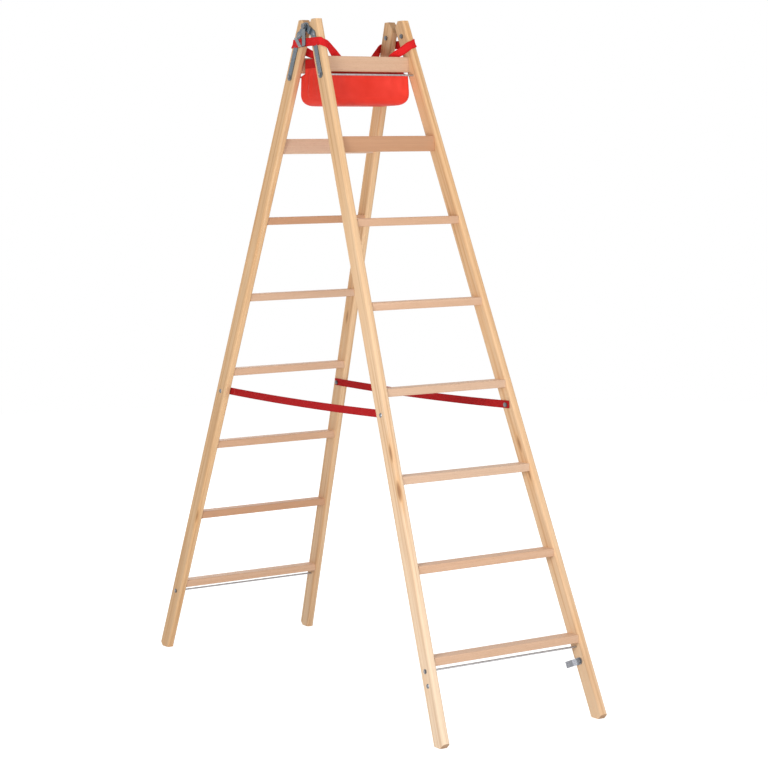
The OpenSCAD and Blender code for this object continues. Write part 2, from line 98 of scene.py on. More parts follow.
# Both woods: the figure's axes are across, through and along the grain
TRUNK_SCALE = (11.0, 11.0, 0.9)
YEARS_SCALE = (150.0, 0.7, 1.0)
LINE_STOPS = [(0.0, 0.05), (0.55, 0.25), (0.86, 1.0), (1.0, 0.05)]
BAND_STOPS = [(0.34, 0.0), (0.68, 1.0)]
END_STOPS = [(0.22, 0.0), (0.50, 1.0)]

# Pine of the stiles, in metres
PINE_EARLY = (0.820, 0.560, 0.330)
PINE_LATE = (0.610, 0.330, 0.145)
PINE_GLOW = (0.740, 0.400, 0.165)
PINE_STREAK = (0.520, 0.255, 0.095)
# Painted light: the pale tone laid on where the light falls brighter near the foot
PINE_PAINTED_LIGHT = (0.860, 0.710, 0.550)
PINE_KNOT = (0.270, 0.115, 0.045)
PINE_END = (0.400, 0.215, 0.105)
PINE_RING = 0.0034
PINE_PITH = {"reach": (0.046, 0.030), "rate": (2.4, 1.7), "shift": -0.018}
PINE_WANDER = 0.030
PINE_TILT = 0.0045
PINE_FIBRE_SCALE = (760.0, 760.0, 9.0)
PINE_KNOT_SCALE = (13.0, 13.0, 3.1)
PINE_STREAK_SCALE = (85.0, 85.0, 1.5)
PINE_KNOT_STOPS = [(0.045, 1.0), (0.075, 0.75), (0.12, 0.0)]
PINE_HALO_STOPS = [(0.08, 1.0), (0.26, 0.0)]
PINE_STREAK_STOPS = [(0.50, 0.0), (0.68, 1.0)]
PINE_FIBRE_STOPS = [(0.30, 0.90), (0.62, 1.0)]
PINE_SHARE = {"line": 0.30, "band": 0.50, "streak": 0.50, "halo": 0.5, "end": 0.7, "knot": 0.8}
PINE_LINE_RELIEF = 0.5
PINE_BUMP = (0.00035, 0.35)
PINE_ROUGH = (0.60, 0.46)
PINE_SPECULAR = 0.22
# Painted light: share of a pale tone at each stile's foot, and how it fades up the grain
FOOT_PAINTED_LIGHT = {"front_left": 0.75, "front_right": 0.35, "rear_left": 0.0, "rear_right": 0.30}
PAINTED_LIGHT_FADE = -0.52
PAINTED_LIGHT_MIDDLE = 0.34
# Each stile is cut from another place in the trunk
STILE_SEED = 1.7
STILE_SEED_STEP = 2.3

# Beech of the rungs, in metres
BEECH_EARLY = (0.690, 0.440, 0.290)
BEECH_LATE = (0.510, 0.290, 0.170)
BEECH_GLOW = (0.600, 0.345, 0.205)
BEECH_SAP = (0.740, 0.560, 0.420)
BEECH_RING = 0.0042
BEECH_PITH = {"reach": (0.060, 0.070), "rate": (3.1, 2.3)}
BEECH_WANDER = 0.020
BEECH_TILT = 0.006
BEECH_FIBRE_SCALE = (900.0, 900.0, 16.0)
BEECH_FLECK_SCALE = (1100.0, 1100.0, 170.0)
BEECH_FLECK_STOPS = [(0.60, 0.0), (0.70, 1.0)]
BEECH_FIBRE_STOPS = [(0.30, 0.92), (0.62, 1.0)]
BEECH_SHARE = {"line": 0.20, "band": 0.40, "fleck": 0.45}
BEECH_FLECK_RELIEF = -0.4
BEECH_BUMP = (0.0003, 0.3)
BEECH_ROUGH = (0.56, 0.42)
BEECH_SPECULAR = 0.24
# How strongly each colour deepens in a darker rung
BEECH_DEEPEN = (1.0, 1.9, 2.7)
# Rungs of darker wood, and rungs with some pale sapwood
DARK_RUNGS = {"front_rung_7": 0.80, "rear_rung_2": 0.85, "rear_rung_6": 0.83}
PALE_RUNGS = {
    "front_rung_1": 0.3, "front_rung_3": 0.5, "front_rung_4": 0.45, "rear_rung_5": 0.35, "rear_rung_7": 0.6,
}
# Each rung has another place in the trunk, and a slightly lighter or darker tone
RUNG_SEED_STEP = 0.9
FRAME_SEED_STEP = 4.0
RUNG_TONE = 0.04
RUNG_TONE_RATE = 2.7

# Sizes of the wood, in metres
TENON = 0.014
STILE_DEPTH = 0.058
STILE_THICK = 0.025
STILE_ROUND = 0.008

# Zinc plated steel: colour and roughness of each finish, and the record's slots that take three of them
ZINC = {
    "plate": ((0.21, 0.25, 0.29), 0.28),
    "fixing": ((0.26, 0.27, 0.29), 0.40),
    "rod": ((0.46, 0.45, 0.46), 0.40),
    "hook": ((0.26, 0.29, 0.31), 0.24),
    "catch": ((0.30, 0.31, 0.34), 0.34),
}
ZINC_SLOTS = {"zinc_plate": "plate", "zinc_fixings": "fixing", "hook_steel": "hook"}
CRYSTAL_SCALE = 210.0
CRYSTAL_STOPS = [(0.0, 0.72), (1.0, 1.0)]
RUB_SCALE = 95.0
RUB_DETAIL = 4.0
RUB_GRIT = 0.6
RUB_SHARE = 0.25
RUB_DARK = 0.6
RUB_SMOOTHER = 0.06
RUB_ROUGHER = 0.10
PLATING_SCALE = 420.0
PLATING_BUMP = (0.0001, 0.25)

# Webbing, in metres
WEB_WIDTH = 0.027
SPREADER_WIDTH = 0.025
WEB_THICK = 0.002
WEB_RED = (0.480, 0.012, 0.014)
HARNESS_RED = (0.780, 0.018, 0.020)
FABRIC_SPECULAR = 0.08
CHEVRON_PITCH = 0.009
CHEVRON_REACH = 0.0045
TWILL_PITCH = 0.0016
TWILL_STOPS = [(0.1, 0.0), (1.0, 1.0)]
YARN_PITCH = 0.0009
YARN_RELIEF = 0.4
FUZZ_SCALE = (900.0, 1800.0, 1.0)
FUZZ_RELIEF = 0.3
WEB_FADE_SCALE = (22.0, 60.0, 1.0)
WEB_FADE_SHARE = 0.5
WEB_DEEP = 0.55
WEB_PALE = (1.18, 0.01)
WEB_ROUGH = 0.72
WEB_BUMP = (0.0005, 0.5)
EDGE_DARK_STOPS = [(0.0104, 0.0), (0.0122, 1.0)]
EDGE_DARK_SHARE = 0.35
STRAP_COLUMNS = 4
STRAP_EDGE_TURNS = (60, 20, -20, -60)

# Coated cloth of the bag: colour and roughness of each piece, and weave in metres
BAG_RED = (0.820, 0.042, 0.024)
BAG_ROUGH = 0.46
LINING_DARK = 0.6
LINING_ROUGH = 0.55
# The hem's red: deeper for its double layer, and darker still with painted shade
HEM_RED_AND_SHADE = (0.540, 0.010, 0.009)
HEM_ROUGH = 0.50
CLOTH_PITCH = 0.0013
CLOTH_WEAVE_SHARE = 0.12
CLOTH_WEAVE_RELIEF = 0.06
CLOTH_CREASE_SCALE = (34.0, 46.0, 1.0)
CLOTH_CREASE_DETAIL = 4.0
CLOTH_CREASE_GRIT = 0.55
CLOTH_FADE_SCALE = (8.0, 10.0, 1.0)
CLOTH_DEEP = 0.88
CLOTH_PALE = (1.05, 0.015)
CLOTH_BUMP = (0.0016, 0.5)
CLOTH_SMOOTHER = 0.05
CLOTH_ROUGHER = 0.10
COAT_WEIGHT = 0.03
COAT_ROUGH = 0.2

# Sewing, in metres and degrees. A stitch's profile gives shares of its half length and of its radius
THREAD_RED = (0.620, 0.080, 0.060)
THREAD_DEEP = 0.6
THREAD_ROUGH = 0.6
THREAD_BUMP = (0.0002, 0.4)
PLY_SCALE = 1500.0
THREAD_SLOT = 1
STITCH_LENGTH = 0.0034
STITCH_PITCH = 0.0050
STITCH_RADIUS = 0.00045
STITCH_SIDES = 6
STITCH_PROFILE = ((-1.0, 0.25), (-0.6, 1.0), (0.6, 1.0), (1.0, 0.25))
SHORT_STITCH = 0.6
SMOOTH_ANGLE = 50.0

# Spreader straps, in metres: the seams' distances from the bolt, and their half length as share of the width
SPREADER_SAG = 0.006
SPREADER_STEPS = 96
SPREADER_SEAMS = (0.016, 0.021, 0.052, 0.057)
SPREADER_SEAM_HALF = 0.4

# Harness, in metres: places along its route, and how the webbing lies between the hem and the stile
SEWN_X = {-1: 0.086, 1: 0.094}
SEWN_START = 0.003
SEWN_LENGTH = 0.022
SEWN_HALF = 0.38
SEWN_BOX = ((0, 1), (1, 2), (2, 3), (3, 0), (0, 2))
LEAF_THICK = 0.003
LEAF_REACHES = (0.048, 0.016)
STRAP_GAP = 0.0004
HEM_ACROSS = Vector((1, 0, -1))
OVER_ACROSS = Vector((1, 0.15, -1))
SPAN_ACROSS = Vector((0.75, -0.15, -1))
SPAN_DIP = Vector((0, 0, -0.001))
LEAVE_SHIFT = Vector((-0.002, 0.003, -0.001))
ROUTE_STEPS = 10

# Tool bag: shares of its height, and sizes in metres
HEM_HEIGHT = 0.029
HEM_THICK = 0.0009
HEM_STEPS = 5
HEM_TURNS = (30, 60, 90, 120, 150)
HEM_SEAMS = (0.12, 0.30)
HEM_WAVE = 0.0004
HEM_WAVE_RATE = 90.0
BAG_WALL = 0.0016
RISE_SHARE = 0.32
BELLY_SHARE = 0.22
CREST_SHARE = 0.64
SHOULDER_SHARE = 0.705
FLOOR_SHARE = 0.55
BAG_POWER = 2.3
BAG_CORNER = 0.0397
MOUTH_GAP = 0.001
MOUTH_ROUND = 0.008
BELLY_ROUND = 0.011
ROUND_LIMIT = 0.8
PANEL_CROWN = 0.0015
BAG_RINGS = 52
RING_CROWDING = 1.25
FLOOR_RINGS = 6
FLOOR_MIDDLE = 0.12
SIDE_STEPS = 72
END_STEPS = 48
ROUND_STEPS = 8
# The four sides in turn, from the front
TURNS = {"front": 0, "right": 1, "rear": 2, "left": 3}
# Folds of an end panel: place across it, half width, height, lean, and the shares where it starts and ends
END_FOLDS = [
    (0.043, 0.0060, 0.0022, 0.10, 0.30, 0.80),
    (0.018, 0.0095, 0.0030, -0.05, 0.10, 0.82),
    (-0.013, 0.0065, 0.0020, 0.14, 0.34, 0.80),
    (-0.040, 0.0100, 0.0028, -0.12, 0.15, 0.78),
    (0.064, 0.0090, 0.0010, 0.16, 0.10, 0.60),
    (-0.060, 0.0070, 0.0008, -0.05, 0.16, 0.55),
]
# Folds of a long panel: place along it, then the same values
SIDE_FOLDS = [
    (-0.092, 0.012, 0.0016, 0.16, 0.35, 0.80),
    (0.084, 0.013, 0.0018, -0.18, 0.30, 0.80),
    (-0.020, 0.020, 0.0010, 0.25, 0.10, 0.55),
    (0.128, 0.009, 0.0014, 0.12, 0.20, 0.75),
    (-0.132, 0.009, 0.0014, -0.10, 0.15, 0.72),
]
# A fold fades in and out over these shares, and has a dip beside it, in half widths and shares of its height
FOLD_FADE_IN = 0.25
FOLD_FADE_OUT = 0.08
FOLD_DIP_PLACE = 1.7
FOLD_DIP = 0.5


def middle(box):
    low, high = box
    return (low + high) / 2


# Places read from the frame
FOLD_ANGLE = math.radians(joints["fold"]["range_deg"][1])
LEAN = FOLD_ANGLE / 2
low_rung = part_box("front_rung_1")[1]
rung_middle = middle(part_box("front_rung_1"))
board_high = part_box("front_rung_8")[1]
rung_rise = (board_high.z - low_rung.z) / math.cos(LEAN)
TAPER = (low_rung.x - board_high.x) / rung_rise
SPLAY = math.atan(TAPER)
BOARD_BACK = -board_high.y
BOARD_TOP = board_high.z


def stile_inner(z):
    """Distance of a stile's inner face from the ladder's middle, at height z."""
    return board_high.x - TENON + (BOARD_TOP - z) / math.cos(LEAN) * TAPER


def stile_front(z):
    """Place of a front stile's front face along y, at height z."""
    return rung_middle.y + (z - rung_middle.z) * math.tan(LEAN) - STILE_DEPTH / 2 / math.cos(LEAN)


# Node helpers


def new_material(name):
    material = bpy.data.materials.new(name)
    material.use_nodes = True
    tree = material.node_tree
    shader = next(n for n in tree.nodes if n.type == "BSDF_PRINCIPLED")
    return material, tree, shader


def feed(tree, socket, value):
    """Links an input or sets its value. A colour is given as three levels."""
    if isinstance(value, bpy.types.NodeSocket):
        tree.links.new(value, socket)
    elif socket.type == "RGBA":
        socket.default_value = (*value, 1.0)
    else:
        socket.default_value = value


def add(tree, kind, inputs=None, **settings):
    """A new node with its settings, and each input as a value or a link."""
    made = tree.nodes.new(kind)
    for name, value in settings.items():
        setattr(made, name, value)
    for key, value in (inputs or {}).items():
        feed(tree, made.inputs[key], value)
    return made


def join(tree, shader, **sockets):
    """Sets the shader's inputs, with spaces written as underscores."""
    for name, value in sockets.items():
        feed(tree, shader.inputs[name.replace("_", " ")], value)


def calc(tree, operation, a, b=0.0, c=0.0, clamp=False):
    made = add(tree, "ShaderNodeMath", {0: a, 1: b, 2: c}, operation=operation, use_clamp=clamp)
    return made.outputs[0]


def stretch(tree, vector, scale, shift=(0.0, 0.0, 0.0)):
    made = add(tree, "ShaderNodeMapping", {"Vector": vector, "Scale": scale, "Location": shift})
    return made.outputs["Vector"]


def noise(tree, vector, scale=1.0, detail=2.0, rough=0.5):
    inputs = {"Vector": vector, "Scale": scale, "Detail": detail, "Roughness": rough}
    return add(tree, "ShaderNodeTexNoise", inputs).outputs["Fac"]


def ramp(tree, value, stops):
    """Maps a value through (place, level) stops."""
    made = add(tree, "ShaderNodeValToRGB", {"Fac": value})
    elements = made.color_ramp.elements
    while len(elements) < len(stops):
        elements.new(0.5)
    for element, (place, level) in zip(elements, stops):
        element.position = place
        element.color = (level, level, level, 1.0)
    return made.outputs["Color"]


def spread(tree, value, start, end):
    """Maps the middle range of a noise from one level to another."""
    return ramp(tree, value, [(NOISE_LOW, start), (NOISE_HIGH, end)])


def mix(tree, share, a, b, blend="MIX"):
    """Blends two colours, each given as a tuple or a link."""
    made = add(tree, "ShaderNodeMix", data_type="RGBA", blend_type=blend)
    values = {"Factor_Float": share, "A_Color": a, "B_Color": b}
    for socket in made.inputs:
        if socket.identifier in values:
            feed(tree, socket, values[socket.identifier])
    return next(s for s in made.outputs if s.identifier == "Result_Color")


def tint(tree, tone, mask, share, colour):
    """Lays a colour over a tone where the mask says, up to a share."""
    return mix(tree, calc(tree, "MULTIPLY", mask, share), tone, colour)


def bump(tree, height, distance, strength):
    inputs = {"Height": height, "Distance": distance, "Strength": strength}
    return add(tree, "ShaderNodeBump", inputs).outputs["Normal"]


def toned(colour, share, lift=0.0):
    """A darker or paler colour."""
    return tuple(min(1.0, share * level + lift) for level in colour)


# Materials


def grain_space(tree, turn, centre):
    """Coordinates in a board's own space, with z along its grain."""
    place = add(tree, "ShaderNodeTexCoord").outputs["Object"]
    back = turn.transposed()
    inputs = {"Vector": place, "Rotation": back.to_euler("XYZ"), "Location": -(back @ centre)}
    return add(tree, "ShaderNodeMapping", inputs).outputs["Vector"]


def pith_place(seed, reach, rate, shift=0.0):
    """Where the trunk's pith lies, across and through a board."""
    return reach[0] * math.cos(rate[0] * seed), reach[1] * math.sin(rate[1] * seed) + shift


def growth(tree, local, pith, wander, tilt, seed):
    """Distance from the pith, with the slow wander of a real trunk, and place along the grain."""
    drift = noise(tree, stretch(tree, local, TRUNK_SCALE, (seed, 0.3, 0.7 * seed)))
    axes = add(tree, "ShaderNodeSeparateXYZ", {"Vector": local}).outputs
    across = calc(tree, "SUBTRACT", axes["X"], pith[0])
    deep = calc(tree, "SUBTRACT", axes["Y"], pith[1])
    flat = add(tree, "ShaderNodeCombineXYZ", {"X": across, "Y": deep}).outputs["Vector"]
    ring = add(tree, "ShaderNodeVectorMath", {0: flat}, operation="LENGTH").outputs["Value"]
    ring = calc(tree, "MULTIPLY_ADD", drift, wander, ring)
    return calc(tree, "MULTIPLY_ADD", axes["Z"], tilt, ring), axes["Z"]


def ring_tone(tree, ring, along, gap, seed):
    """Fine yearly lines, and the slower change between bands of years."""
    phase = calc(tree, "FRACT", calc(tree, "DIVIDE", ring, gap))
    line = ramp(tree, phase, LINE_STOPS)
    years = add(tree, "ShaderNodeCombineXYZ", {"X": ring, "Y": along, "Z": seed}).outputs["Vector"]
    band = noise(tree, stretch(tree, years, YEARS_SCALE), detail=2.5, rough=0.6)
    return line, ramp(tree, band, BAND_STOPS)


def end_grain(tree, turn):
    """1 where the grain is cut across, 0 along it."""
    out = add(tree, "ShaderNodeTexCoord").outputs["Normal"]
    made = add(tree, "ShaderNodeVectorMath", {0: out, 1: turn @ UP}, operation="DOT_PRODUCT")
    return ramp(tree, calc(tree, "ABSOLUTE", made.outputs["Value"]), END_STOPS)


def pine(name, turn, centre, seed, pale_share):
    """Planed softwood with yearly lines, painted light, streaks and knots. The seed shifts each texture."""
    material, tree, shader = new_material(name)
    local = grain_space(tree, turn, centre)
    ring, along = growth(tree, local, pith_place(seed, **PINE_PITH), PINE_WANDER, PINE_TILT, seed)
    line, band = ring_tone(tree, ring, along, PINE_RING, seed)
    fibre = noise(tree, stretch(tree, local, PINE_FIBRE_SCALE), detail=3.0)
    cells = stretch(tree, local, PINE_KNOT_SCALE, (seed, 2.1 * seed, 0.6 * seed + 0.35))
    spot = add(tree, "ShaderNodeTexVoronoi", {"Scale": 1.0, "Vector": cells}).outputs["Distance"]
    knot = ramp(tree, spot, PINE_KNOT_STOPS)
    halo = ramp(tree, spot, PINE_HALO_STOPS)
    streak = noise(tree, stretch(tree, local, PINE_STREAK_SCALE, (2.0 * seed, 0.4, seed)))
    streak = ramp(tree, streak, PINE_STREAK_STOPS)
    tone = tint(tree, PINE_EARLY, line, PINE_SHARE["line"], PINE_LATE)
    tone = tint(tree, tone, band, PINE_SHARE["band"], PINE_GLOW)
    # Painted light: paler towards the foot, where the light falls brighter
    pale = calc(tree, "MULTIPLY_ADD", along, PAINTED_LIGHT_FADE, PAINTED_LIGHT_MIDDLE, clamp=True)
    tone = tint(tree, tone, pale, pale_share, PINE_PAINTED_LIGHT)
    tone = tint(tree, tone, streak, PINE_SHARE["streak"], PINE_STREAK)
    tone = tint(tree, tone, halo, PINE_SHARE["halo"], PINE_GLOW)
    tone = tint(tree, tone, end_grain(tree, turn), PINE_SHARE["end"], PINE_END)
    tone = tint(tree, tone, knot, PINE_SHARE["knot"], PINE_KNOT)
    tone = mix(tree, 1.0, tone, ramp(tree, fibre, PINE_FIBRE_STOPS), "MULTIPLY")
    relief = calc(tree, "MULTIPLY_ADD", line, PINE_LINE_RELIEF, fibre)
    join(tree, shader, Base_Color=tone, Normal=bump(tree, relief, *PINE_BUMP))
    join(tree, shader, Roughness=spread(tree, fibre, *PINE_ROUGH), Specular_IOR_Level=PINE_SPECULAR)
    return material


def beech(name, turn, centre, seed, light, pale_share):
    """Planed hardwood with yearly lines and short flecks. The seed shifts each texture."""
    material, tree, shader = new_material(name)
    local = grain_space(tree, turn, centre)
    ring, along = growth(tree, local, pith_place(seed, **BEECH_PITH), BEECH_WANDER, BEECH_TILT, seed)
    line, band = ring_tone(tree, ring, along, BEECH_RING, seed)
    fibre = noise(tree, stretch(tree, local, BEECH_FIBRE_SCALE), detail=3.0)
    dash = noise(tree, stretch(tree, local, BEECH_FLECK_SCALE, (seed, 0.0, 0.0)), detail=1.0)
    fleck = ramp(tree, dash, BEECH_FLECK_STOPS)
    early = tuple(level * light ** power for level, power in zip(BEECH_EARLY, BEECH_DEEPEN))
    early = tuple(a + (b - a) * pale_share for a, b in zip(early, BEECH_SAP))
    tone = tint(tree, early, line, BEECH_SHARE["line"], BEECH_LATE)
    tone = tint(tree, tone, band, BEECH_SHARE["band"] * (1 - pale_share), BEECH_GLOW)
    tone = tint(tree, tone, fleck, BEECH_SHARE["fleck"], BEECH_LATE)
    tone = mix(tree, 1.0, tone, ramp(tree, fibre, BEECH_FIBRE_STOPS), "MULTIPLY")
    relief = calc(tree, "MULTIPLY_ADD", fleck, BEECH_FLECK_RELIEF, fibre)
    join(tree, shader, Base_Color=tone, Normal=bump(tree, relief, *BEECH_BUMP))
    join(tree, shader, Roughness=spread(tree, fibre, *BEECH_ROUGH), Specular_IOR_Level=BEECH_SPECULAR)
    return material


def zinc(name, colour, rough):
    """Plated steel with faint crystals and rubbed marks."""
    material, tree, shader = new_material(name)
    place = add(tree, "ShaderNodeTexCoord").outputs["Object"]
    cells = add(tree, "ShaderNodeTexVoronoi", {"Vector": place, "Scale": CRYSTAL_SCALE}).outputs["Color"]
    crystal = add(tree, "ShaderNodeSeparateColor", {"Color": cells}).outputs["Red"]
    rub = noise(tree, place, RUB_SCALE, RUB_DETAIL, RUB_GRIT)
    tone = mix(tree, 1.0, colour, ramp(tree, crystal, CRYSTAL_STOPS), "MULTIPLY")
    tone = tint(tree, tone, rub, RUB_SHARE, toned(colour, RUB_DARK))
    join(tree, shader, Base_Color=tone, Metallic=1.0)
    join(tree, shader, Roughness=spread(tree, rub, rough - RUB_SMOOTHER, rough + RUB_ROUGHER))
    join(tree, shader, Normal=bump(tree, noise(tree, place, PLATING_SCALE), *PLATING_BUMP))
    return material


def woven(tree):
    """Coordinates along and across a woven piece, in metres."""
    place = add(tree, "ShaderNodeTexCoord").outputs["UV"]
    axes = add(tree, "ShaderNodeSeparateXYZ", {"Vector": place}).outputs
    return place, axes["X"], axes["Y"]


def wave(tree, value, pitch):
    """A triangle wave from 0 to 1."""
    phase = calc(tree, "FRACT", calc(tree, "DIVIDE", value, pitch))
    return calc(tree, "ABSOLUTE", calc(tree, "MULTIPLY_ADD", phase, 2.0, -1.0))


def webbing(name, colour):
    """Herringbone twill, darker along both edges."""
    material, tree, shader = new_material(name)
    place, along, across = woven(tree)
    chevron = calc(tree, "MULTIPLY", wave(tree, across, CHEVRON_PITCH), CHEVRON_REACH)
    twill = wave(tree, calc(tree, "ADD", along, chevron), TWILL_PITCH)
    height = calc(tree, "MULTIPLY_ADD", wave(tree, across, YARN_PITCH), YARN_RELIEF, twill)
    fuzz = noise(tree, stretch(tree, place, FUZZ_SCALE))
    fade = noise(tree, stretch(tree, place, WEB_FADE_SCALE))
    # Darker along both edges of the webbing
    edge = ramp(tree, calc(tree, "ABSOLUTE", across), EDGE_DARK_STOPS)
    deep = toned(colour, WEB_DEEP)
    tone = mix(tree, ramp(tree, height, TWILL_STOPS), deep, colour)
    tone = tint(tree, tone, fade, WEB_FADE_SHARE, toned(colour, *WEB_PALE))
    tone = tint(tree, tone, edge, EDGE_DARK_SHARE, deep)
    relief = calc(tree, "MULTIPLY_ADD", fuzz, FUZZ_RELIEF, height)
    join(tree, shader, Base_Color=tone, Roughness=WEB_ROUGH, Specular_IOR_Level=FABRIC_SPECULAR)
    join(tree, shader, Normal=bump(tree, relief, *WEB_BUMP))
    return material


def coated_cloth(name, colour, rough):
    """Woven cloth under a thin coat."""
    material, tree, shader = new_material(name)
    place, along, across = woven(tree)
    weave = calc(tree, "MULTIPLY", wave(tree, along, CLOTH_PITCH), wave(tree, across, CLOTH_PITCH))
    creases = stretch(tree, place, CLOTH_CREASE_SCALE)
    crease = noise(tree, creases, detail=CLOTH_CREASE_DETAIL, rough=CLOTH_CREASE_GRIT)
    fade = noise(tree, stretch(tree, place, CLOTH_FADE_SCALE))
    deep = toned(colour, CLOTH_DEEP)
    tone = mix(tree, spread(tree, fade, 0.0, 1.0), deep, toned(colour, *CLOTH_PALE))
    tone = tint(tree, tone, weave, CLOTH_WEAVE_SHARE, deep)
    relief = calc(tree, "MULTIPLY_ADD", weave, CLOTH_WEAVE_RELIEF, crease)
    join(tree, shader, Base_Color=tone, Normal=bump(tree, relief, *CLOTH_BUMP))
    join(tree, shader, Roughness=spread(tree, crease, rough - CLOTH_SMOOTHER, rough + CLOTH_ROUGHER))
    join(tree, shader, Specular_IOR_Level=FABRIC_SPECULAR)
    join(tree, shader, Coat_Weight=COAT_WEIGHT, Coat_Roughness=COAT_ROUGH)
    return material


def thread(name, colour):
    """Twisted sewing thread."""
    material, tree, shader = new_material(name)
    place = add(tree, "ShaderNodeTexCoord").outputs["Object"]
    ply = noise(tree, place, PLY_SCALE)
    tone = mix(tree, ply, toned(colour, THREAD_DEEP), colour)
    join(tree, shader, Base_Color=tone, Roughness=THREAD_ROUGH, Normal=bump(tree, ply, *THREAD_BUMP))
    return material


# Mesh helpers


class Draft:
    """Points, faces and woven coordinates of a piece in the making."""

    def __init__(self):
        self.points = []
        self.faces = []
        self.weave = []
        self.slots = []

    def face(self, corners, weave, slot):
        self.faces.append(corners)
        self.weave.extend(weave)
        self.slots.append(slot)

    def skin(self, rows, weave, slot=0):
        """Joins closed rows of points into a skin. A row's weave has one more place, for its seam."""
        base = len(self.points)
        count = len(rows[0])
        for row in rows:
            self.points.extend(row)
        for r in range(len(rows) - 1):
            for k in range(count):
                after = (k + 1) % count
                corners = [(r, k, k), (r, after, k + 1), (r + 1, after, k + 1), (r + 1, k, k)]
                self.face([base + count * i + j for i, j, _ in corners],
                          [weave[i][j] for i, _, j in corners], slot)
        return base

    def cap(self, first, count, weave, slot=0, flip=False):
        order = list(range(count))
        if flip:
            order.reverse()
        self.face([first + k for k in order], [weave[k] for k in order], slot)

    def tube(self, rows, weave, slot=0):
        """A skin with a cap on each end."""
        count = len(rows[0])
        first = self.skin(rows, weave, slot)
        self.cap(first, count, weave[0], slot, flip=True)
        self.cap(first + count * (len(rows) - 1), count, weave[-1], slot)


def new_object(name, data):
    made = bpy.data.objects.new(name, data)
    bpy.context.scene.collection.objects.link(made)
    return made


def make_piece(name, draft, materials):
    mesh = bpy.data.meshes.new(name)
    mesh.from_pydata(draft.points, [], draft.faces)
    layer = mesh.uv_layers.new(name="weave")
    layer.data.foreach_set("uv", [level for pair in draft.weave for level in pair])
    for material in materials:
        mesh.materials.append(material)
    mesh.polygons.foreach_set("material_index", draft.slots)
    mesh.shade_smooth()
    mesh.set_sharp_from_angle(angle=math.radians(SMOOTH_ANGLE))
    mesh.update()
    return new_object(name, mesh)


def curve_through(points):
    """A smooth line through the points, with some steps from each point to the next."""
    line = []
    ends = [2 * points[0] - points[1], *points, 2 * points[-1] - points[-2]]
    for before, a, b, after in zip(ends, ends[1:], ends[2:], ends[3:]):
        for k in range(ROUTE_STEPS):
            t = k / ROUTE_STEPS
            line.append(0.5 * (2 * a + (b - before) * t + (2 * before - 5 * a + 4 * b - after) * t ** 2
                               + (3 * a - before - 3 * b + after) * t ** 3))
    line.append(points[-1].copy())
    return line


def strap_section(width):
    """A flat section with round edges, as (across, lift) pairs."""
    lift = WEB_THICK / 2
    flat = width / 2 - lift
    across = [flat * k / STRAP_COLUMNS for k in range(-STRAP_COLUMNS, STRAP_COLUMNS + 1)]
    turns = [math.radians(a) for a in STRAP_EDGE_TURNS]
    right = [(flat + lift * math.cos(a), lift * math.sin(a)) for a in turns]
    left = [(-a, -b) for a, b in right]
    return [(a, lift) for a in across] + right + [(-a, -lift) for a in across] + left


def strap_frames(line, acrosses):
    """Place, across direction, face direction and length so far at each point of a strap."""
    frames = []
    length = 0.0
    for k, point in enumerate(line):
        before = line[max(k - 1, 0)]
        after = line[min(k + 1, len(line) - 1)]
        along = (after - before).normalized()
        face = along.cross(acrosses[k]).normalized()
        if k:
            length += (point - before).length
        frames.append((point, face.cross(along), face, length))
    return frames


def add_strap(draft, frames, width):
    section = strap_section(width)
    rows = [[p + a * across + lift * face for a, lift in section] for p, across, face, _ in frames]
    weave = [[(length, a) for a, _ in [*section, section[0]]] for _, _, _, length in frames]
    draft.tube(rows, weave)


def add_stitch(draft, centre, along, face):
    """One raised stitch: a flat spindle of thread."""
    side = face.cross(along)
    turns = [math.radians(360 / STITCH_SIDES * k) for k in range(STITCH_SIDES)]
    rows = []
    for share, size in STITCH_PROFILE:
        core = centre + along * (share * STITCH_LENGTH / 2)
        radius = STITCH_RADIUS * size
        rows.append([core + radius * (side * math.cos(a) + face * math.sin(a)) for a in turns])
    weave = [[(0.0, 0.0)] * (STITCH_SIDES + 1)] * len(rows)
    draft.tube(rows, weave, THREAD_SLOT)


def add_seam(draft, start, end, face):
    """A row of stitches from start to end."""
    count = max(1, round((end - start).length / STITCH_PITCH))
    along = (end - start).normalized()
    for k in range(count):
        add_stitch(draft, start.lerp(end, (k + 0.5) / count), along, face)


# Spreader straps


def spreader(side, materials):
    name = SIDES[side] + "_spreader_strap"
    low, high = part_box(name)
    bolt = middle(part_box("front_strap_bolts"))
    mid_x = (low.x + high.x) / 2

    def sag_z(y):
        """Height of the strap's middle line."""
        return bolt.z - SPREADER_SAG * (1 - (y / bolt.y) ** 2)

    ys = [low.y + (high.y - low.y) * k / SPREADER_STEPS for k in range(SPREADER_STEPS + 1)]
    line = [Vector((mid_x, y, sag_z(y))) for y in ys]
    draft = Draft()
    add_strap(draft, strap_frames(line, [UP] * len(line)), SPREADER_WIDTH)
    # Sewn on the face towards the stile, because the nuts lie flat on the other one
    sewn_x = mid_x + side * (WEB_THICK / 2 + STITCH_RADIUS / 2)
    half = SPREADER_SEAM_HALF * SPREADER_WIDTH
    for end in ENDS:
        for reach in SPREADER_SEAMS:
            y = end * (abs(bolt.y) - reach)
            z = sag_z(y)
            bottom = Vector((sewn_x, y, z - half))
            top = Vector((sewn_x, y, z + half))
            add_seam(draft, bottom, top, Vector((side, 0, 0)))
    piece = make_piece(name + "_web", draft, materials)
    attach(piece, "front_frame")
    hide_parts(name)
    fold_to_bolt(piece)


def fold_to_bolt(piece):
    """Gives a spreader strap its own copy of its mesh."""
    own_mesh(piece)


# Harness


